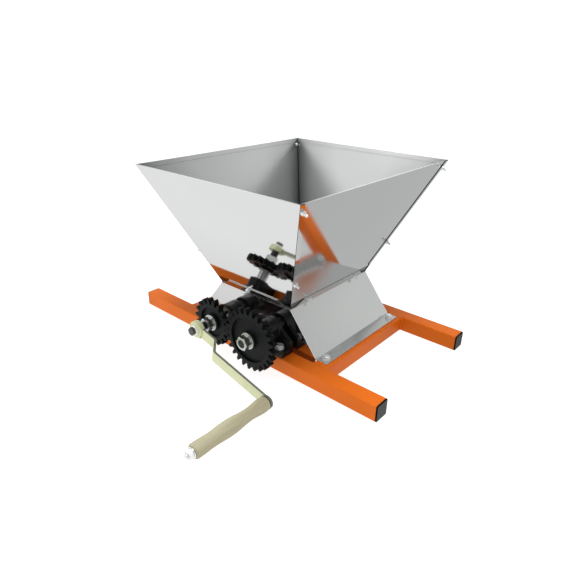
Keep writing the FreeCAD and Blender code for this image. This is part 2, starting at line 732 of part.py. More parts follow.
def pin_holes(x, reach_up):
    """Cross holes through a roller and its shaft, blind at the bottom."""
    holes = [Part.makeCylinder(PIN_R + 0.02, PIN_REACH + reach_up, Vector(x, y, SHAFT_Z - PIN_REACH))
             for y in (-PIN_Y, PIN_Y)]
    return group(holes)


def shaft(x, front_parts):
    """Main bar, keyed gear seat and the front end that is passed in."""
    bar = Part.makeCylinder(SHAFT_R, SHAFT_REAR_Y - SHAFT_SHOULDER_Y, Vector(0, 0, 0))
    bar = bar.makeChamfer(1.0, [edge for edge in bar.Edges if edge.BoundBox.ZMax < 0.01])
    bar = placed(bar, Vector(x, SHAFT_REAR_Y, SHAFT_Z), TO_CRANK)
    seat = Part.makeCylinder(SEAT_R, SHAFT_SHOULDER_Y - GEAR_FRONT_Y - 0.5,
                             Vector(x, SHAFT_SHOULDER_Y, SHAFT_Z), TO_CRANK)
    front = [placed(piece, Vector(x, y, SHAFT_Z), TO_CRANK) for piece, y in front_parts]
    whole = fused([bar, seat] + front)
    slot = Part.makeBox(KEY + 0.04, KEY_LENGTH + 0.2, KEY,
                        Vector(x - KEY / 2 - 0.02, KEY_FRONT_Y - 0.1, SHAFT_Z + KEY_TOP - KEY - 0.02))
    return whole.cut(slot).cut(pin_holes(x, PIN_REACH))


def thread_start_y():
    return GEAR_FRONT_Y + 0.5


def driven_shaft():
    """The front end is all thread, and stops just inside the nut's face."""
    stub = threaded_rod(THREAD_R, THREAD_PITCH, M14[5] + M14[3])
    return shaft(DRIVEN_X, [(stub, thread_start_y())])


def drive_shaft():
    """The front end carries the thread, then a plain seat for the crank with a tapped end."""
    thread = 20.0
    stub = threaded_rod(THREAD_R, THREAD_PITCH, thread)
    plain_y = thread_start_y() - thread + THREAD_PITCH
    plain = Part.makeCylinder(THREAD_R - 0.2, plain_y - HUB_FRONT_Y - 0.5)
    whole = shaft(DRIVE_X, [(stub, thread_start_y()), (plain, plain_y)])
    tapped = Part.makeCylinder(M8[0] + RUNNING_CLEARANCE, 24.0, Vector(DRIVE_X, HUB_FRONT_Y + 24.0, SHAFT_Z), TO_CRANK)
    return whole.cut(tapped)


def roller(x, turn):
    """A fluted crushing roller, bored for its shaft and two cross pins."""
    body = Part.makeCylinder(ROLLER_R, 2 * ROLLER_HALF, Vector(x, ROLLER_HALF, SHAFT_Z), TO_CRANK)
    body = body.makeChamfer(1.5, [edge for edge in body.Edges if edge.BoundBox.YLength < 0.01])
    flutes = []
    for i in range(ROLLER_FLUTES):
        angle = math.radians(turn + 360.0 * i / ROLLER_FLUTES)
        reach = ROLLER_R - FLUTE_DEPTH + FLUTE_R
        centre = Vector(x + reach * math.cos(angle), ROLLER_HALF + 1, SHAFT_Z + reach * math.sin(angle))
        flutes.append(Part.makeCylinder(FLUTE_R, 2 * ROLLER_HALF + 2, centre, TO_CRANK))
    body = body.cut(group(flutes))
    bore = Part.makeCylinder(SHAFT_R + 0.03, 2 * ROLLER_HALF + 2, Vector(x, ROLLER_HALF + 1, SHAFT_Z), TO_CRANK)
    return body.cut(bore).cut(pin_holes(x, ROLLER_R + 2))


def roller_pins(x):
    pins = [Part.makeCylinder(PIN_R, 2 * PIN_REACH - 0.5, Vector(x, y, SHAFT_Z - PIN_REACH + 0.2))
            for y in (-PIN_Y, PIN_Y)]
    return group(pins)


def shaft_collar(x):
    """A clamp ring behind the rear block, with a radial screw hole on top."""
    ring = placed(washer(COLLAR_R, SHAFT_R + 0.03, COLLAR_WIDTH),
                  Vector(x, COLLAR_FRONT_Y + COLLAR_WIDTH, SHAFT_Z), TO_CRANK)
    middle = COLLAR_FRONT_Y + COLLAR_WIDTH / 2
    return ring.cut(Part.makeCylinder(M6[0] + 0.02, COLLAR_R + 2, Vector(x, middle, SHAFT_Z)))


def collar_screw(x):
    screw = socket_screw(M6[0], COLLAR_R - SHAFT_R - 0.4)
    return screw.translated(Vector(x, COLLAR_FRONT_Y + COLLAR_WIDTH / 2, SHAFT_Z + SHAFT_R + 0.1))


# ---------------------------------------------------------------- crank

def on_crank(shape):
    """Turn a part drawn with the arm along +X, from the shaft's axis, into its place."""
    copy = shape.copy()
    copy.rotate(Vector(0, 0, 0), Y_AXIS, -CRANK_ANGLE)
    copy.translate(Vector(DRIVE_X, 0, SHAFT_Z))
    return copy


def crank_hub():
    """A turned hub on the shaft's plain end, with a radial screw hole away from the arm."""
    length = HUB_BACK_Y - HUB_FRONT_Y
    profile = [(THREAD_R - 0.2 + RUNNING_CLEARANCE, 0), (HUB_R - 1, 0), (HUB_R, 1), (HUB_R, length - 1),
               (HUB_R - 1, length), (THREAD_R - 0.2 + RUNNING_CLEARANCE, length)]
    hub = placed(lathe(profile), Vector(0, HUB_BACK_Y, 0), TO_CRANK)
    hole = Part.makeCylinder(M6[0] + 0.02, HUB_R + 2, Vector(0, (HUB_BACK_Y + HUB_FRONT_Y) / 2, 0), Vector(-1, 0, 0))
    return on_crank(hub.cut(hole))


def crank_set_screw():
    screw = socket_screw(M6[0], HUB_R - THREAD_R + 0.4)
    start = Vector(-THREAD_R, (HUB_BACK_Y + HUB_FRONT_Y) / 2, 0)
    return on_crank(placed(screw, start, Vector(-1, 0, 0)))


def crank_arm():
    """Flat bar with one step towards the hand, a round eye and a countersunk hole for the grip's spindle."""
    half = ARM_THICK / 2
    path = [(0, ARM_INNER_Y - half), (ARM_STEP[0], ARM_INNER_Y - half),
            (ARM_STEP[1], ARM_OUTER_Y - half), (CRANK_RADIUS, ARM_OUTER_Y - half)]
    corners, radii = sheet_outline(path, ARM_THICK, ARM_BEND)
    bar = prism([Vector(x, y, -ARM_WIDTH / 2) for x, y in corners], radii, Vector(0, 0, ARM_WIDTH))
    eye = Part.makeCylinder(ARM_END_R, ARM_THICK, Vector(CRANK_RADIUS, ARM_OUTER_Y + half, 0), TO_CRANK)
    arm = fused([bar, eye])
    arm = arm.cut(Part.makeCylinder(HUB_R, 40, Vector(0, ARM_INNER_Y + 20, 0), TO_CRANK))
    reach = SPINDLE_HEAD_R - SPINDLE_R
    bore = SPINDLE_R + RUNNING_CLEARANCE
    hole = lathe([(0, -1), (bore + reach + 1, -1), (bore, reach), (bore, 20), (0, 20)])
    return on_crank(arm.cut(placed(hole, Vector(CRANK_RADIUS, ARM_OUTER_Y + half, 0), TO_CRANK)))


SPRING_WASHER = 2.1


def crank_end_washers():
    plain = washer(M8[4] + 0.5, M8[0] + 0.2, M8[5])
    spring = washer(M8[4] - 1.0, M8[0] + 0.2, SPRING_WASHER)
    split = Part.makeBox(M8[4], 0.8, SPRING_WASHER, Vector(0, -0.4, 0))
    split.rotate(Vector(0, 0, SPRING_WASHER / 2), X_AXIS, 20)
    spring = spring.cut(split)
    return group([
        on_crank(placed(plain, Vector(0, HUB_FRONT_Y, 0), TO_CRANK)),
        on_crank(placed(spring, Vector(0, HUB_FRONT_Y - M8[5], 0), TO_CRANK)),
    ])


def crank_end_bolt():
    bolt = placed(hex_bolt(M8, 20.0, 14.0, 1.25), Vector(0, 0, 0), Vector(0, 0, -1))
    return on_crank(placed(bolt, Vector(0, HUB_FRONT_Y - M8[5] - SPRING_WASHER, 0), TO_CRANK))


def on_spindle(shape, y):
    return on_crank(placed(shape, Vector(CRANK_RADIUS, y, 0), TO_CRANK))


def grip_spindle():
    """A long countersunk bolt: its head lies flush in the arm's back, and its thread passes the nut."""
    back = ARM_OUTER_Y + ARM_THICK / 2
    thread = 16.0
    length = back - GRIP_END_Y + M8[3] + 3.0
    reach = SPINDLE_HEAD_R - SPINDLE_R
    head = lathe([(0, 0), (SPINDLE_HEAD_R, 0), (SPINDLE_R, reach), (0, reach)])
    plain = Part.makeCylinder(SPINDLE_R, length - thread)
    rod = threaded_rod(SPINDLE_R, 1.25, thread).translated(Vector(0, 0, length - thread))
    return on_spindle(fused([head, plain, rod]), back)


def grip_spindle_nut():
    return on_spindle(nut(M8), GRIP_END_Y)


def grip_inner_washer():
    ring = washer(10.8, SPINDLE_R + 0.2, GRIP_WASHER)
    return on_spindle(ring, ARM_OUTER_Y - ARM_THICK / 2)


def grip_outer_washer():
    return on_spindle(washer(M8[4], SPINDLE_R + 0.2, M8[5]), GRIP_END_Y + M8[5])


def wood_grip():
    """A turned grip: full at the arm, waisted, full in the middle, and flared again before its rounded end."""
    stations = [(0.0, 10.6), (0.06, 11.3), (0.22, 9.6), (0.52, GRIP_MAX_R), (0.80, 10.4), (0.93, 11.1),
                (0.965, 11.0)]
    curve = Part.BSplineCurve()
    curve.interpolate([Vector(r, 0, share * GRIP_LENGTH) for share, r in stations])
    end_r = stations[-1][1]
    end_z = stations[-1][0] * GRIP_LENGTH
    nose = Part.Arc(Vector(end_r, 0, end_z), Vector(end_r - 0.9, 0, GRIP_LENGTH - 1.2),
                    Vector(end_r - 3.4, 0, GRIP_LENGTH))
    bore = SPINDLE_R + 0.08
    edges = [
        Part.makeLine(Vector(bore, 0, 0), Vector(stations[0][1], 0, 0)), curve.toShape(), nose.toShape(),
        Part.makeLine(Vector(end_r - 3.4, 0, GRIP_LENGTH), Vector(bore, 0, GRIP_LENGTH)),
        Part.makeLine(Vector(bore, 0, GRIP_LENGTH), Vector(bore, 0, 0)),
    ]
    grip = Part.Face(Part.Wire(edges)).revolve(Vector(0, 0, 0), Z_AXIS, 360)
    return on_spindle(grip, GRIP_BACK_Y)


# ---------------------------------------------------------------- all nodes

def frame_nodes():
    skirt_bolts, skirt_washers = skirt_fasteners()
    block_bolts, block_washers = block_fasteners()
    block = bearing_block_front()
    bushes = front_bushes()
    return {
        "long_tube_front": long_tube(-1),
        "long_tube_rear": long_tube(1),
        "cross_tube_left": cross_tube(-1),
        "cross_tube_right": cross_tube(1),
        "tube_end_plugs": tube_end_plugs(),
        "frame_threaded_inserts": frame_inserts(),
        "skirt_bolts": skirt_bolts,
        "skirt_washers": skirt_washers,
        "bearing_block_front": block,
        "bearing_block_rear": mirrored_y(block),
        "bearing_bushes_front": bushes,
        "bearing_bushes_rear": mirrored_y(bushes),
        "block_bolts": block_bolts,
        "block_washers": block_washers,
    }


def sheet_nodes():
    corner_bolts, corner_nuts = corner_fasteners()
    base_bolts, base_nuts = base_fasteners()
    skirt = skirt_right()
    front = hopper_panel_front()
    right = hopper_panel_right()
    return {
        "skirt_right": skirt,
        "skirt_left": mirrored_x(skirt),
        "end_plate_front": end_plate_front(-1),
        "end_plate_rear": mirrored_y(end_plate_front(1)),
        "hopper_panel_front": front,
        "hopper_panel_rear": mirrored_x(mirrored_y(front)),
        "hopper_panel_right": right,
        "hopper_panel_left": mirrored_x(right),
        "hopper_corner_bolts": corner_bolts,
        "hopper_corner_nuts": corner_nuts,
        "hopper_base_bolts": base_bolts,
        "hopper_base_nuts": base_nuts,
    }


def drive_nodes():
    first_gap = -MESH_OFFSET * DRIVEN_TEETH / DRIVE_TEETH
    return {
        "drive_shaft": drive_shaft(),
        "drive_roller": roller(DRIVE_X, 9.0),
        "drive_roller_pins": roller_pins(DRIVE_X),
        "drive_gear": gear(DRIVE_X, DRIVE_TEETH, first_gap + 180.0 / DRIVE_TEETH),
        "drive_gear_key": gear_key(DRIVE_X),
        "drive_gear_washer": shaft_washer(DRIVE_X),
        "drive_gear_nut": shaft_nut(DRIVE_X),
        "drive_shaft_collar": shaft_collar(DRIVE_X),
        "drive_collar_screw": collar_screw(DRIVE_X),
        "crank_hub": crank_hub(),
        "crank_set_screw": crank_set_screw(),
        "crank_arm": crank_arm(),
        "crank_end_washers": crank_end_washers(),
        "crank_end_bolt": crank_end_bolt(),
        "grip_spindle": grip_spindle(),
        "grip_spindle_nut": grip_spindle_nut(),
        "grip_inner_washer": grip_inner_washer(),
        "grip_outer_washer": grip_outer_washer(),
    }


def driven_nodes():
    return {
        "driven_shaft": driven_shaft(),
        "driven_roller": roller(DRIVEN_X, 27.0),
        "driven_roller_pins": roller_pins(DRIVEN_X),
        "driven_gear": gear(DRIVEN_X, DRIVEN_TEETH, 180.0 + MESH_OFFSET),
        "driven_gear_key": gear_key(DRIVEN_X),
        "driven_gear_washer": shaft_washer(DRIVEN_X),
        "driven_gear_nut": shaft_nut(DRIVEN_X),
        "driven_shaft_collar": shaft_collar(DRIVEN_X),
        "driven_collar_screw": collar_screw(DRIVEN_X),
        "wood_grip": wood_grip(),
    }


def main():
    os.makedirs("parts", exist_ok=True)
    nodes = {}
    for build in (frame_nodes, sheet_nodes, drive_nodes, driven_nodes):
        nodes.update(build())
    for name, shape in nodes.items():
        shape.exportStep("parts/" + name + ".step")


main()
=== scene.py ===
"""Looks of the hand-cranked grape crusher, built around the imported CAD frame. Units are metres."""

import json
import math

import bmesh
import bpy
from mathutils import Matrix, Vector, noise

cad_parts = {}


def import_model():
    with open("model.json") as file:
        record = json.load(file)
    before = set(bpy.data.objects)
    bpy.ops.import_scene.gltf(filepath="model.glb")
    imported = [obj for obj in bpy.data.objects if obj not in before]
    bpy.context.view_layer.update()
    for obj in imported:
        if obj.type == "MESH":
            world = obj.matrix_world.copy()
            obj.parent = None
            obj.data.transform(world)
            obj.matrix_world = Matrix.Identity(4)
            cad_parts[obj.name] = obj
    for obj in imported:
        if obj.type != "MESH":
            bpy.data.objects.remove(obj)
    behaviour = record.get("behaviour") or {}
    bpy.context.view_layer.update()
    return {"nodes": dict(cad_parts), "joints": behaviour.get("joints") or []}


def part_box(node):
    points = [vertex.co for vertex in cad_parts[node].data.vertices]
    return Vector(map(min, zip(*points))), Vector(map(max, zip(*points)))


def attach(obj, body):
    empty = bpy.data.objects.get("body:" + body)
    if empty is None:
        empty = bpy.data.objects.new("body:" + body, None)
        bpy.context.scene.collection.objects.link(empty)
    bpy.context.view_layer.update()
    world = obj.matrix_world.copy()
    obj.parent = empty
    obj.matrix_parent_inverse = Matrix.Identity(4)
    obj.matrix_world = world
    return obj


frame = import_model()
NODES = frame["nodes"]


def top_corner(node):
    """A node's highest x, y and z, to a thousandth of a millimetre."""
    return [round(value, 6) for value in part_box(node)[1]]


# The hopper's outer faces lean out from the fold under it to the rim, by axis
FOLD_Z = 0.099
FOLD_HALF = {"X": 0.0800, "Y": 0.1085}
RIM_Z = top_corner("hopper_panel_right")[2]
RIM_HALF = {"X": top_corner("hopper_panel_right")[0], "Y": top_corner("hopper_panel_rear")[1]}
PANEL_RISE = {axis: (RIM_HALF[axis] - FOLD_HALF[axis]) / (RIM_Z - FOLD_Z) for axis in "XY"}
PANEL_FOOT = {axis: FOLD_HALF[axis] - FOLD_Z * PANEL_RISE[axis] for axis in "XY"}

# Painted shade beside a hopper seam: the black line's width and soft edge, how far the close and the wide
# painted shade reach from the seam, and where the wide painted shade is full
SEAM_LINE = 0.0026
SEAM_SOFT = 0.0006
CLOSE_REACH = 0.046
WIDE_REACH = 0.105
WIDE_FULL = 0.015

# The top of the lips that the hopper is bolted to, the painted highlight on the edge there, and the painted
# shadow above it
LIP_TOP = top_corner("skirt_left")[2]
LIP_EDGE = 0.0004
LIP_SHADOW_START = 0.0008
LIP_SHADOW_END = 0.0026

# Where the shafts' threads begin, and the length over which the colour changes there
THREAD_Y = -0.1785
THREAD_FADE = 0.001

# The frame's paint, the white of a painted highlight on a sheared steel edge, and the black of the painted
# shade in a seam and on a fold
ORANGE = (0.80, 0.160, 0.006)
EDGE_HIGHLIGHT_WHITE = (1.0, 1.0, 0.99)
PAINTED_SHADE_BLACK = (0.02, 0.02, 0.02)


# ---------------------------------------------------------------- node tree helpers

def shade(colour, factor):
    """A colour made darker or lighter, no lighter than white."""
    return [min(1.0, channel * factor) for channel in colour]


def grey(value):
    return (value, value, value)


class Graph:
    """Short ways to add and join the nodes of one node tree."""

    def __init__(self, node_tree, coordinates):
        self.nodes = node_tree.nodes
        self.links = node_tree.links
        self.place = self.nodes.new("ShaderNodeTexCoord").outputs[coordinates]

    def put(self, socket, value):
        """Feed a node socket from a number, a colour or another node's output."""
        if isinstance(value, bpy.types.NodeSocket):
            self.links.new(value, socket)
        elif hasattr(value, "__len__"):
            socket.default_value = tuple(value) + (1.0,) * (len(socket.default_value) - len(value))
        else:
            socket.default_value = value

    def math(self, operation, first, second=0.0):
        node = self.nodes.new("ShaderNodeMath")
        node.operation = operation
        self.put(node.inputs[0], first)
        self.put(node.inputs[1], second)
        return node.outputs[0]

    def times(self, first, second):
        return self.math("MULTIPLY", first, second)

    def part(self, vector, axis):
        node = self.nodes.new("ShaderNodeSeparateXYZ")
        self.links.new(vector, node.inputs[0])
        return node.outputs[axis]

    def ramp(self, value, low, high, start=0.0, end=1.0, interpolation="LINEAR"):
        """Map a value from start..end to low..high."""
        node = self.nodes.new("ShaderNodeMapRange")
        node.interpolation_type = interpolation
        self.put(node.inputs["Value"], value)
        self.put(node.inputs["From Min"], start)
        self.put(node.inputs["From Max"], end)
        self.put(node.inputs["To Min"], low)
        self.put(node.inputs["To Max"], high)
        return node.outputs["Result"]

    def mask(self, value, start, end):
        """0 at the start of a range and 1 at its end, which may be the lower one."""
        if start > end:
            return self.ramp(value, 1.0, 0.0, end, start)
        return self.ramp(value, 0.0, 1.0, start, end)

    def is_camera_ray(self):
        return self.nodes.new("ShaderNodeLightPath").outputs["Is Camera Ray"]


class Look(Graph):
    """A material with one Principled shader. Noise scales are per metre, and bump distances in metres."""

    def __init__(self, name):
        self.material = bpy.data.materials.new(name)
        self.material.use_nodes = True
        super().__init__(self.material.node_tree, "Object")
        self.shader = self.nodes["Principled BSDF"]
        self.facing = self.nodes.new("ShaderNodeNewGeometry").outputs["True Normal"]

    def set(self, **values):
        for key, value in values.items():
            self.put(self.shader.inputs[key.replace("_", " ")], value)

    def across(self, axis):
        """How squarely a face looks along an axis, in either direction."""
        return self.math("ABSOLUTE", self.part(self.facing, axis))

    def mix(self, share, first, second):
        """Blend two colours, through the colour sockets of a Mix node."""
        node = self.nodes.new("ShaderNodeMix")
        node.data_type = "RGBA"
        self.put(node.inputs[0], share)
        self.put(node.inputs[6], first)
        self.put(node.inputs[7], second)
        return node.outputs[2]

    def noise(self, scale, detail=3.0, rough=0.5, distortion=0.0):
        """Noise of one scale, or of one scale for each axis."""
        node = self.nodes.new("ShaderNodeTexNoise")
        vector = self.place
        if hasattr(scale, "__len__"):
            stretch = self.nodes.new("ShaderNodeMapping")
            self.links.new(self.place, stretch.inputs["Vector"])
            stretch.inputs["Scale"].default_value = scale
            vector, scale = stretch.outputs["Vector"], 1.0
        self.links.new(vector, node.inputs["Vector"])
        node.inputs["Scale"].default_value = scale
        node.inputs["Detail"].default_value = detail
        node.inputs["Roughness"].default_value = rough
        node.inputs["Distortion"].default_value = distortion
        return node.outputs["Fac"]

    def cells(self, scale):
        node = self.nodes.new("ShaderNodeTexVoronoi")
        self.links.new(self.place, node.inputs["Vector"])
        node.inputs["Scale"].default_value = scale
        return node.outputs["Distance"]

    def bump(self, height, strength, distance, before=None):
        node = self.nodes.new("ShaderNodeBump")
        node.inputs["Strength"].default_value = strength
        node.inputs["Distance"].default_value = distance
        self.links.new(height, node.inputs["Height"])
        if before is not None:
            self.links.new(before, node.inputs["Normal"])
        return node.outputs["Normal"]

    def bevel(self, radius):
        node = self.nodes.new("ShaderNodeBevel")
        node.samples = 4
        node.inputs["Radius"].default_value = radius
        return node.outputs["Normal"]


# ---------------------------------------------------------------- stainless sheet

def panel_edges(look, along):
    """Painted shade on a hopper panel: black on its fold and in the inner seam, and the soft painted shade
    beside the seam.
    """
    lean = look.times(look.part(look.place, "Z"), PANEL_RISE[along])
    neighbour = look.math("ADD", lean, PANEL_FOOT[along])
    past = look.math("SUBTRACT", look.math("ABSOLUTE", look.part(look.place, along)), neighbour)
    inside = look.mask(look.part(look.facing, "Z"), 0.1, 0.2)
    fold = look.times(look.mask(past, 0.0001, 0.0004), look.mask(look.across(along), 0.6, 0.4))
    seam = look.times(look.mask(past, -SEAM_LINE, SEAM_SOFT - SEAM_LINE), inside)
    near = look.math("POWER", look.ramp(past, 0.0, 0.75, -CLOSE_REACH, 0.0), 1.8)
    wide = look.ramp(past, 0.0, 0.36, -WIDE_REACH, -WIDE_FULL)
    return look.math("MAXIMUM", fold, seam), look.times(look.math("ADD", near, wide), inside)


def lip_shadow(look):
    """The dark line on the outside of a hopper panel, just above the housing's lip."""
    outside = look.mask(look.part(look.facing, "Z"), -0.1, -0.2)
    height = look.part(look.place, "Z")
    return look.times(outside, look.mask(height, LIP_TOP + LIP_SHADOW_END, LIP_TOP + LIP_SHADOW_START))


def cut_edges(look, edges, tone):
    """Painted highlights: whiten a sheet's sheared edges, which face along Y past the given limits, and
    paint the top of its lip a given grey.
    """
    low, high, lip_painted_tone = edges
    edge = look.ramp(look.across("Y"), 0.0, 1.0, low, high)
    lip = look.mask(look.part(look.place, "Z"), LIP_TOP - LIP_EDGE, LIP_TOP - LIP_EDGE / 2)
    tone = look.mix(edge, tone, EDGE_HIGHLIGHT_WHITE)
    return look.mix(lip, tone, grey(lip_painted_tone)), look.math("MAXIMUM", edge, lip)


def steel_sheet(name, colour, outside, inside, streak_axis, seams=None, streaking=0.0005, edges=None):
    """Rolled stainless sheet: fine rolling streaks, soft smudges and its own polish on the inner side;
    painted shade at seams and painted highlights on rims and cut edges.
    """
    look = Look(name)
    scale = [900.0, 900.0, 900.0]
    scale[streak_axis] = 14.0
    streaks = look.noise(scale, 4.0, 0.6)
    smudges = look.mask(look.noise(11.0, 4.0, 0.6), 0.35, 0.72)
    upwards = look.part(look.facing, "Z")
    polish = look.ramp(look.mask(upwards, -0.05, 0.05), outside, inside)
    drawn = look.ramp(streaks, 1.0 - 30.0 * streaking, 1.0 + 30.0 * streaking, 0.3, 0.7)
    rough = look.math("ADD", look.times(polish, drawn), look.times(smudges, 0.02))
    tone = look.mix(look.ramp(smudges, 0.0, 0.10), colour, shade(colour, 0.84))
    tone = look.mix(look.ramp(streaks, 0.0, 12.0 * streaking, 0.3, 0.7), tone, shade(colour, 1.1))
    if seams:
        # Painted highlight: faces that look straight up, the rim's top edge, are painted near white; their
        # roughness is raised too
        rim = look.mask(upwards, 0.90, 0.95)
        tone = look.mix(rim, tone, (0.93, 0.93, 0.92))
        rough = look.mix(rim, rough, grey(0.55))
        # Painted shade: black lines on the fold and in the inner seam, and a soft painted shade on the inner
        # faces that deepens towards the seams
        dark, soft = panel_edges(look, seams)
        tone = look.mix(soft, tone, shade(colour, 0.30))
        tone = look.mix(look.times(dark, 0.94), tone, PAINTED_SHADE_BLACK)
        tone = look.mix(look.times(lip_shadow(look), 0.85), tone, grey(0.03))
    # Painted highlights: white on the cut edges, and a given grey on the lip's top, bright on the skirts and
    # dim on the end plates
    if edges:
        tone, painted_edges = cut_edges(look, edges, tone)
        rough = look.mix(painted_edges, rough, grey(0.30))
    rolling_waves = look.bump(look.noise(5.5, 1.0, 0.4), 0.05, 0.004)
    look.set(Base_Color=tone, Metallic=1.0, Roughness=rough,
             Normal=look.bump(streaks, streaking, 0.0004, rolling_waves))
    return look.material


# ---------------------------------------------------------------- other metals, paint, plastic and wood

def zinc(name, colour, rough, metal):
    """Bright plated steel: fine turning marks, and a slightly patchy plating."""
    look = Look(name)
    patches = look.noise(420.0, 3.0, 0.6)
    marks = look.noise(2600.0, 2.0, 0.6)
    tone = look.mix(look.ramp(patches, 0.0, 0.4, 0.35, 0.7), colour, shade(colour, 0.82))
    look.set(Base_Color=tone, Metallic=metal, Roughness=look.ramp(patches, rough, rough + 0.10, 0.3, 0.7),
             Normal=look.bump(marks, 0.03, 0.00006, look.bevel(0.00035)))
    return look.material


def turned_steel(name, colour):
    """Turned bar: rings across its length, and a near-black thread at the crank end."""
    look = Look(name)
    rings = look.noise((40.0, 2600.0, 40.0), 2.0, 0.6)
    stain = look.noise(60.0, 3.0, 0.6)
    tone = look.mix(look.ramp(stain, 0.0, 0.35, 0.4, 0.75), colour, shade(colour, 0.7))
    thread = look.mask(look.part(look.place, "Y"), THREAD_Y + THREAD_FADE / 2, THREAD_Y - THREAD_FADE / 2)
    tone = look.mix(thread, tone, (0.045, 0.046, 0.044))
    look.set(Base_Color=tone, Metallic=1.0, Roughness=look.ramp(stain, 0.24, 0.40),
             Normal=look.bump(rings, 0.12, 0.00006, look.bevel(0.0003)))
    return look.material


def dark_steel(name):
    """Blackened steel, rubbed paler in places."""
    look = Look(name)
    grain = look.noise(1800.0, 3.0, 0.6)
    worn = look.noise(260.0, 3.0, 0.6)
    tone = look.mix(look.mask(worn, 0.55, 0.75), (0.075, 0.078, 0.075), (0.16, 0.165, 0.15))
    look.set(Base_Color=tone, Metallic=0.7, Roughness=look.ramp(worn, 0.42, 0.30, 0.4, 0.75),
             Normal=look.bump(grain, 0.2, 0.00008, look.bevel(0.0004)))
    return look.material


def powder_coat(name, colour):
    """Powder coat over welded tube: orange peel, slight drift in shade, and fine dark specks."""
    look = Look(name)
    drift = look.noise(9.0, 3.0, 0.5)
    specks = look.noise(700.0, 4.0, 0.7)
    tone = look.mix(look.mask(drift, 0.3, 0.7), shade(colour, 0.94), shade(colour, 1.06))
    tone = look.mix(look.ramp(specks, 0.0, 0.5, 0.70, 0.82), tone, shade(colour, 0.6))
    peel = look.bump(look.cells(620.0), 0.16, 0.00022, look.bevel(0.0006))
    look.set(Base_Color=tone, Roughness=look.ramp(drift, 0.32, 0.42), Specular_IOR_Level=0.16,
             Normal=look.bump(look.noise(1500.0, 2.0, 0.5), 0.05, 0.0001, peel))
    return look.material


def moulded(name, colour, rough, grain_scale, grain, bevel, gloss, rim=None):
    """Moulded or cast black: a fine grain, dusty patches and soft edges. A plug's rim also gets painted
    shade, darker and less glossy.
    """
    look = Look(name)
    fine = look.noise(grain_scale, 3.0, 0.6)
    dust = look.noise(95.0, 4.0, 0.6)
    dusty = [channel * 1.35 + 0.003 for channel in colour]
    tone = look.mix(look.mask(dust, 0.42, 0.72), colour, dusty)
    # Painted shade: the chamfered rim around a plug's end face is painted darker and made less glossy
    if rim is not None:
        edge = look.mask(look.across("X"), 0.995, 0.97)
        tone = look.mix(edge, tone, rim)
        gloss = look.ramp(edge, gloss, 0.04)
    look.set(Base_Color=tone, Roughness=look.ramp(dust, rough, rough + 0.10, 0.3, 0.75),
             Specular_IOR_Level=gloss, Normal=look.bump(fine, grain, 0.00012, look.bevel(bevel)))
    return look.material


def passivated(name, sheared=False):
    """Pale yellow-green plating on the crank, cloudy and satin. A bar's narrow sides are darker."""
    look = Look(name)
    clouds = look.noise(55.0, 4.0, 0.6, distortion=0.4)
    fine = look.noise(900.0, 3.0, 0.6)
    tone = look.mix(look.mask(clouds, 0.3, 0.7), (0.69, 0.72, 0.42), (0.80, 0.82, 0.54))
    tone = look.mix(look.ramp(fine, 0.0, 0.25, 0.55, 0.8), tone, (0.45, 0.45, 0.30))
    if sheared:
        tone = look.mix(look.mask(look.across("Y"), 0.35, 0.15), tone, (0.22, 0.23, 0.18))
    look.set(Base_Color=tone, Metallic=0.25, Roughness=look.ramp(clouds, 0.34, 0.44),
             Normal=look.bump(fine, 0.10, 0.0001, look.bevel(0.0005)))
    return look.material


def beech(name):
    """Turned beech: grain along the grip, short dark pores and soft growth bands."""
    look = Look(name)
    bands = look.noise((95.0, 5.0, 95.0), 4.0, 0.55, distortion=0.6)
    fibres = look.noise((900.0, 16.0, 900.0), 5.0, 0.7)
    pores = look.mask(look.noise((1300.0, 120.0, 1300.0), 2.0, 0.5), 0.66, 0.74)
    handled = look.noise(26.0, 3.0, 0.6)
    tone = look.mix(look.mask(bands, 0.35, 0.68), (0.42, 0.37, 0.22), (0.54, 0.505, 0.335))
    tone = look.mix(look.ramp(fibres, 0.0, 0.45, 0.4, 0.7), tone, (0.60, 0.58, 0.42))
    tone = look.mix(look.times(pores, 0.55), tone, (0.27, 0.215, 0.12))
    tone = look.mix(look.ramp(handled, 0.0, 0.22, 0.5, 0.8), tone, (0.38, 0.33, 0.21))
    look.set(Base_Color=tone, Roughness=look.ramp(fibres, 0.50, 0.64),
             Normal=look.bump(pores, 0.25, -0.0001, look.bump(fibres, 0.16, 0.00014)))
    return look.material


def aluminium(name):
    """Extruded roller: drawn lines along its length under a dull haze."""
    look = Look(name)
    lines = look.noise((1500.0, 12.0, 1500.0), 4.0, 0.6)
    haze = look.noise(40.0, 4.0, 0.6)
    tone = look.mix(look.ramp(haze, 0.0, 0.5, 0.35, 0.7), (0.36, 0.365, 0.375), (0.27, 0.275, 0.285))
    look.set(Base_Color=tone, Metallic=1.0, Roughness=look.ramp(haze, 0.40, 0.52),
             Normal=look.bump(lines, 0.10, 0.0001, look.bevel(0.0004)))
    return look.material


def bronze(name):
    """Sintered bush: turned rings and open pores."""
    look = Look(name)
    rings = look.noise((60.0, 2400.0, 60.0), 2.0, 0.6)
    pores = look.noise(1500.0, 2.0, 0.6)
    tone = look.mix(look.ramp(pores, 0.0, 0.6, 0.55, 0.75), (0.17, 0.145, 0.11), (0.09, 0.075, 0.06))
    look.set(Base_Color=tone, Metallic=1.0, Roughness=look.ramp(pores, 0.32, 0.48),
             Normal=look.bump(rings, 0.1, 0.00006, look.bevel(0.0003)))
    return look.material


# ---------------------------------------------------------------- materials on the CAD nodes

def dress(material, *names):
    """Give CAD nodes a material, on the objects and not on their meshes."""
    for name in names:
        for slot in NODES[name].material_slots:
            slot.link = "OBJECT"
            slot.material = material


def dress_pair(material, name, ends):
    """Give two CAD nodes a material, whose names differ in one word."""
    dress(material, *(name.format(end) for end in ends))


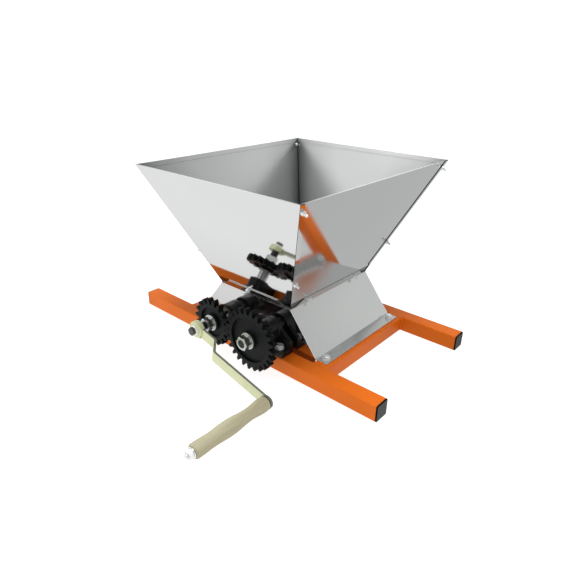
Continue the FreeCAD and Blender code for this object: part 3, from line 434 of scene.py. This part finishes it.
FRAME_PAINT = powder_coat("orange_powder_coat", ORANGE)
CRANK_FINISH = passivated("passivated_crank")
FRONT_REAR = ("front", "rear")
LEFT_RIGHT = ("left", "right")
SHAFTS = ("drive", "driven")

dress_pair(FRAME_PAINT, "long_tube_{}", FRONT_REAR)
dress_pair(FRAME_PAINT, "cross_tube_{}", LEFT_RIGHT)
# The plugs' rim colour is painted shade on their chamfers
dress(moulded("black_plug", (0.040, 0.043, 0.042), rough=0.45, grain_scale=1400.0, grain=0.25, bevel=0.0006,
              gloss=0.25, rim=(0.006, 0.006, 0.007)), "tube_end_plugs")

dress_pair(steel_sheet("steel_front_rear", (0.715, 0.725, 0.72), outside=0.035, inside=0.295, streak_axis=0,
                       seams="X"), "hopper_panel_{}", FRONT_REAR)
dress_pair(steel_sheet("steel_sides", (0.69, 0.71, 0.708), outside=0.085, inside=0.255, streak_axis=1,
                       seams="Y"), "hopper_panel_{}", LEFT_RIGHT)
# Each edges tuple holds the Y limits of the painted edge highlights and the grey painted on the lip's top
dress_pair(steel_sheet("steel_skirt", (0.68, 0.695, 0.685), outside=0.26, inside=0.26, streak_axis=1,
                       streaking=0.0003, edges=(0.8, 0.9, 0.9)), "skirt_{}", LEFT_RIGHT)
dress_pair(steel_sheet("steel_end_plate", grey(0.64), outside=0.09, inside=0.12, streak_axis=0,
                       edges=(0.3, 0.2, 0.35)), "end_plate_{}", FRONT_REAR)

dress_pair(moulded("black_casting", grey(0.006), rough=0.30, grain_scale=900.0, grain=0.35, bevel=0.0010,
                   gloss=0.28), "bearing_block_{}", FRONT_REAR)
dress_pair(bronze("bearing_bronze"), "bearing_bushes_{}", FRONT_REAR)
dress_pair(moulded("black_nylon", (0.0045, 0.0055, 0.0054), rough=0.42, grain_scale=1600.0, grain=0.20,
                   bevel=0.0007, gloss=0.12), "{}_gear", SHAFTS)
dress_pair(aluminium("roller_aluminium"), "{}_roller", SHAFTS)

TURNED = turned_steel("turned_steel", (0.50, 0.505, 0.50))
DARK = dark_steel("dark_steel")
DULL_ZINC = zinc("dull_zinc", (0.60, 0.63, 0.60), rough=0.24, metal=1.0)
for part in ("shaft", "shaft_collar", "roller_pins", "gear_key"):
    dress_pair(TURNED, "{}_" + part, SHAFTS)
dress_pair(DARK, "{}_collar_screw", SHAFTS)
dress_pair(DULL_ZINC, "{}_gear_washer", SHAFTS)
dress_pair(DULL_ZINC, "{}_gear_nut", SHAFTS)

dress(CRANK_FINISH, "crank_hub")
dress(passivated("passivated_bar", sheared=True), "crank_arm")
dress(DARK, "crank_end_bolt", "crank_set_screw", "grip_inner_washer")
dress(beech("turned_beech"), "wood_grip")
dress(zinc("bright_zinc", (0.96, 0.97, 0.97), rough=0.20, metal=0.6),
      "skirt_bolts", "skirt_washers", "hopper_corner_bolts", "hopper_corner_nuts", "hopper_base_bolts",
      "hopper_base_nuts", "block_bolts", "block_washers", "crank_end_washers", "grip_spindle",
      "grip_spindle_nut", "grip_outer_washer", "frame_threaded_inserts")


# ---------------------------------------------------------------- weld beads

# A bead in a corner: its leg, the spacing of its ripples, the length of a step, and its root's depth
WELD_SIZE = 0.0036
WELD_RIPPLE = 0.0028
WELD_STEP = 0.0007
WELD_ROOT = 0.0003
WELD_CLEAR = 0.0016

# A dressed bead across a flush seam
DRESSED_HALF = 0.0032
DRESSED_HEIGHT = 0.0007
DRESSED_RIPPLE = 0.0030
DRESSED_ROOT = 0.0008
DRESSED_CLEAR = 0.001
DRESSED_STEPS = 40

# The beads between the crank's flat arm, whose half width is given, and its hub
ARM_HALF = 0.009
CRANK_WELD_SIZE = 0.0026
CRANK_WELD_CLEAR = 0.0008


def strip_mesh(name, sections, material, body):
    """Skin a run of closed cross-sections, each a ring of points, into one piece that rides on a body."""
    skin = bmesh.new()
    rings = [[skin.verts.new(point) for point in section] for section in sections]
    count = len(rings[0])
    for first, second in zip(rings, rings[1:]):
        for i in range(count):
            j = (i + 1) % count
            skin.faces.new((first[i], first[j], second[j], second[i]))
    skin.faces.new(rings[0][::-1])
    skin.faces.new(rings[-1])
    bmesh.ops.recalc_face_normals(skin, faces=skin.faces)
    mesh = bpy.data.meshes.new(name)
    skin.to_mesh(mesh)
    skin.free()
    for polygon in mesh.polygons:
        polygon.use_smooth = True
    piece = bpy.data.objects.new(name, mesh)
    bpy.context.scene.collection.objects.link(piece)
    piece.data.materials.append(material)
    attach(piece, body)


def corner_weld(name, start, end, out_a, out_b, size, material, body):
    """A rippled weld along a line, filling the corner between two faces that lie along out_a and out_b."""
    length = (end - start).length
    steps = max(12, int(length / WELD_STEP))
    sections = []
    for k in range(steps + 1):
        share = k / steps
        centre = start.lerp(end, share)
        ripple = 0.86 + 0.14 * math.sin(share * length / WELD_RIPPLE * 2 * math.pi)
        wander = 1.0 + 0.14 * noise.noise(Vector((share * 9.0, size * 900.0, start.x * 40.0)))
        taper = min(1.0, 0.35 + 14.0 * min(share, 1.0 - share))
        reach = size * ripple * wander * taper
        ring = [centre - (out_a + out_b) * WELD_ROOT]
        for i in range(7):
            turn = math.radians(90.0 * i / 6)
            swell = reach * (0.78 + 0.22 * abs(math.cos(2 * turn)))
            ring.append(centre + out_a * math.cos(turn) * swell + out_b * math.sin(turn) * swell)
        sections.append(ring)
    strip_mesh(name, sections, material, body)


def seam_weld(name, start, end):
    """A low dressed bead across a flush seam of the frame."""
    length = (end - start).length
    sections = []
    for k in range(DRESSED_STEPS + 1):
        share = k / DRESSED_STEPS
        centre = start.lerp(end, share)
        ripple = 0.80 + 0.20 * math.sin(share * length / DRESSED_RIPPLE * 2 * math.pi)
        taper = min(1.0, 0.25 + 9.0 * min(share, 1.0 - share))
        half = DRESSED_HALF * taper
        height = DRESSED_HEIGHT * ripple * taper
        ring = []
        for i in range(9):
            angle = math.pi * i / 8
            ring.append(centre + Vector((0, half * math.cos(angle), height * math.sin(angle))))
        ring.append(centre + Vector((0, 0, -DRESSED_ROOT)))
        sections.append(ring)
    strip_mesh(name, sections, FRAME_PAINT, "frame_body")


def frame_welds():
    """Beads at the four joints of the frame: up each corner and across the top of each seam."""
    for end, sign in (("left", -1), ("right", 1)):
        low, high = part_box("cross_tube_" + end)
        inner, outer = (low.x, high.x) if sign > 0 else (high.x, low.x)
        for place, y, inward in (("front", low.y, 1), ("rear", high.y, -1)):
            joint = "weld_" + end + "_" + place
            for face, x, out in (("_inner", inner, -sign), ("_outer", outer, sign)):
                corner_weld(joint + face, Vector((x, y, WELD_CLEAR)), Vector((x, y, high.z - WELD_CLEAR)),
                            Vector((out, 0, 0)), Vector((0, inward, 0)), WELD_SIZE, FRAME_PAINT,
                            "frame_body")
            seam_weld(joint + "_top", Vector((low.x + DRESSED_CLEAR, y, high.z)),
                      Vector((high.x - DRESSED_CLEAR, y, high.z)))


def crank_welds():
    """Beads where the flat arm meets the hub, above and below the bar."""
    low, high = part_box("crank_hub")
    joints = {joint["name"]: joint["pos_m"] for joint in frame["joints"]}
    centre, grip = (Vector((joints[name][0], 0, joints[name][2])) for name in ("crank_spin", "grip_spin"))
    along = (grip - centre).normalized()
    across = Vector((-along.z, 0, along.x))
    reach = math.sqrt(((high.x - low.x) / 2) ** 2 - ARM_HALF ** 2)
    for name, sign in (("upper", 1), ("lower", -1)):
        foot = centre + along * reach + across * ARM_HALF * sign
        start = foot + Vector((0, low.y + CRANK_WELD_CLEAR, 0))
        end = foot + Vector((0, high.y - CRANK_WELD_CLEAR, 0))
        corner_weld("weld_crank_" + name, start, end, across * sign, along, CRANK_WELD_SIZE, CRANK_FINISH,
                    "drive_body")


frame_welds()
crank_welds()


# ---------------------------------------------------------------- stage, light and camera

# The floor's own light as the camera sees it, and as the object sees it at the front and at the back
FLOOR_GLOW = 0.83
FLOOR_FRONT = 1.02
FLOOR_BACK = 0.58
FLOOR_FADE_START = -0.22
FLOOR_FADE_END = 0.20
FLOOR_HALF = 9
FLOOR_DROP = 0.0002

# Light of the studio's walls, each as a sine of the height above the horizon and a brightness
WALLS = ((0.42, 0.80), (0.60, 0.36), (0.76, 0.20))

# A dimmer gap in the walls: its azimuth, the half angles where it gives way to the wall, and its light
GAP_AZIMUTH = math.radians(121.0)
GAP_INNER = math.radians(3.0)
GAP_OUTER = math.radians(15.0)
GAP_LIGHT = 0.35

# The backdrop behind the object, which only the camera sees
BACKDROP = 1.1

# Angles in degrees, and the lens in millimetres

CAMERA_AZIMUTH = 40.85
CAMERA_ELEVATION = 25.11
CAMERA_ROLL = 0.92
CAMERA_TARGET = Vector((0.0680, -0.1004, 0.1316))
CAMERA_DISTANCE = 0.8062
CAMERA_LENS = 31.17


def floor():
    """A white floor. Its light on the object fades from the front towards the back."""
    mesh = bpy.data.meshes.new("floor")
    corners = [(-FLOOR_HALF, -FLOOR_HALF, 0), (FLOOR_HALF, -FLOOR_HALF, 0),
               (FLOOR_HALF, FLOOR_HALF, 0), (-FLOOR_HALF, FLOOR_HALF, 0)]
    mesh.from_pydata(corners, [], [(0, 1, 2, 3)])
    piece = bpy.data.objects.new("floor", mesh)
    bpy.context.scene.collection.objects.link(piece)
    look = Look("pale_floor")
    look.set(Base_Color=grey(0.50), Roughness=0.9, Specular_IOR_Level=0.0, Emission_Color=grey(1.0),
             Emission_Strength=FLOOR_GLOW)
    bounce = look.nodes.new("ShaderNodeEmission")
    fade = look.ramp(look.part(look.place, "Y"), FLOOR_FRONT, FLOOR_BACK, FLOOR_FADE_START, FLOOR_FADE_END)
    look.put(bounce.inputs["Strength"], fade)
    join = look.nodes.new("ShaderNodeMixShader")
    look.links.new(look.is_camera_ray(), join.inputs[0])
    look.links.new(bounce.outputs[0], join.inputs[1])
    look.links.new(look.shader.outputs[0], join.inputs[2])
    look.links.new(join.outputs[0], look.nodes["Material Output"].inputs["Surface"])
    piece.data.materials.append(look.material)
    piece.location.z = -FLOOR_DROP


def world():
    """A white studio: bright low walls with one dimmer gap, a dark ceiling, and a plain white backdrop."""
    studio = bpy.data.worlds.new("studio")
    studio.use_nodes = True
    graph = Graph(studio.node_tree, "Generated")
    height = graph.nodes.new("ShaderNodeValToRGB")
    height.color_ramp.interpolation = "EASE"
    stops = height.color_ramp.elements
    stops.new(0.5)
    for stop, (position, value) in zip(stops, WALLS):
        stop.position = position
        stop.color = (value, value, value, 1)
    graph.links.new(graph.part(graph.place, "Z"), height.inputs[0])
    backwards = graph.times(graph.part(graph.place, "Y"), -1.0)
    azimuth = graph.math("ARCTAN2", graph.part(graph.place, "X"), backwards)
    aside = graph.math("ABSOLUTE", graph.math("SUBTRACT", azimuth, GAP_AZIMUTH))
    gap = graph.ramp(aside, GAP_LIGHT, 1.0, GAP_INNER, GAP_OUTER, "SMOOTHSTEP")
    walls = graph.times(height.outputs[0], gap)
    background = graph.nodes["Background"]
    graph.put(background.inputs["Strength"], graph.ramp(graph.is_camera_ray(), walls, BACKDROP))
    graph.put(background.inputs["Color"], grey(1.0))
    bpy.context.scene.world = studio


def softbox(name, place, aim, side, watts):
    """A square area light at a place, turned towards a point."""
    data = bpy.data.lights.new(name, "AREA")
    data.size = side
    data.energy = watts
    lamp = bpy.data.objects.new(name, data)
    bpy.context.scene.collection.objects.link(lamp)
    lamp.location = place
    lamp.rotation_mode = "QUATERNION"
    lamp.rotation_quaternion = (Vector(aim) - Vector(place)).to_track_quat("-Z", "Y")


def camera():
    """A short lens at three-quarter front right, looking down, with a slight roll."""
    azimuth, elevation, roll = (math.radians(a) for a in (CAMERA_AZIMUTH, CAMERA_ELEVATION, CAMERA_ROLL))
    level = math.cos(elevation)
    back = Vector((math.sin(azimuth) * level, -math.cos(azimuth) * level, math.sin(elevation)))
    right = Vector((0, 0, 1)).cross(back).normalized()
    up = back.cross(right)
    turned_right = right * math.cos(roll) + up * math.sin(roll)
    turned_up = up * math.cos(roll) - right * math.sin(roll)
    data = bpy.data.cameras.new("camera")
    data.sensor_width = 36.0
    data.lens = CAMERA_LENS
    data.clip_start = 0.01
    data.clip_end = 100.0
    eye = bpy.data.objects.new("camera", data)
    bpy.context.scene.collection.objects.link(eye)
    pose = Matrix((turned_right, turned_up, back)).transposed().to_4x4()
    pose.translation = CAMERA_TARGET + back * CAMERA_DISTANCE
    eye.matrix_world = pose
    bpy.context.scene.camera = eye


floor()
world()
softbox("overhead", (0.22, 0.16, 2.2), (0, 0, 0.1), 1.15, 32.0)
softbox("key_left", (-0.95, -1.0, 2.1), (0, 0, 0.12), 1.0, 9.0)
softbox("low_left", (-0.85, -0.70, 0.39), (-0.25, -0.14, 0.02), 0.6, 1.6)
camera()
bpy.context.scene.view_settings.view_transform = "Standard"
